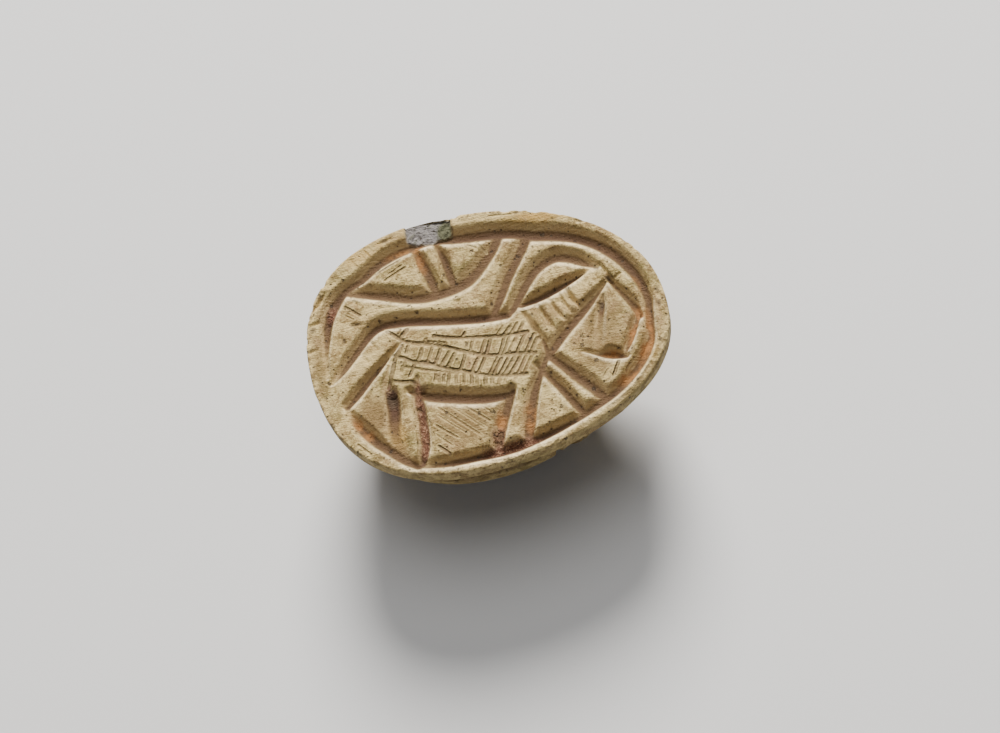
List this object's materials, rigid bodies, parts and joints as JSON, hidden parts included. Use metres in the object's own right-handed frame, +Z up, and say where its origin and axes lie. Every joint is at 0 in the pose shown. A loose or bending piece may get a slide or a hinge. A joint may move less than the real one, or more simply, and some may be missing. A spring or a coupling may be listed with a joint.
{
  "type": "scarab amulet",
  "caption": "Small oval scarab bead of carved stone, domed beetle back, pierced lengthwise, with a sunk animal design on its flat base, lying on its back.",
  "frame": {"origin": "centre of the plan, at the surface that the amulet's worn back rests on", "axes": "+X towards the beetle's head, +Y towards the top edge of the base's design, +Z up out of the carved base"},
  "size_m": [0.0176, 0.0134, 0.0077],
  "materials": {
    "steatite": "matte, worn, with red-brown dirt in the carving"
  },
  "bodies": {
    "root": {"scarab": "steatite"}
  },
  "joints": []
}
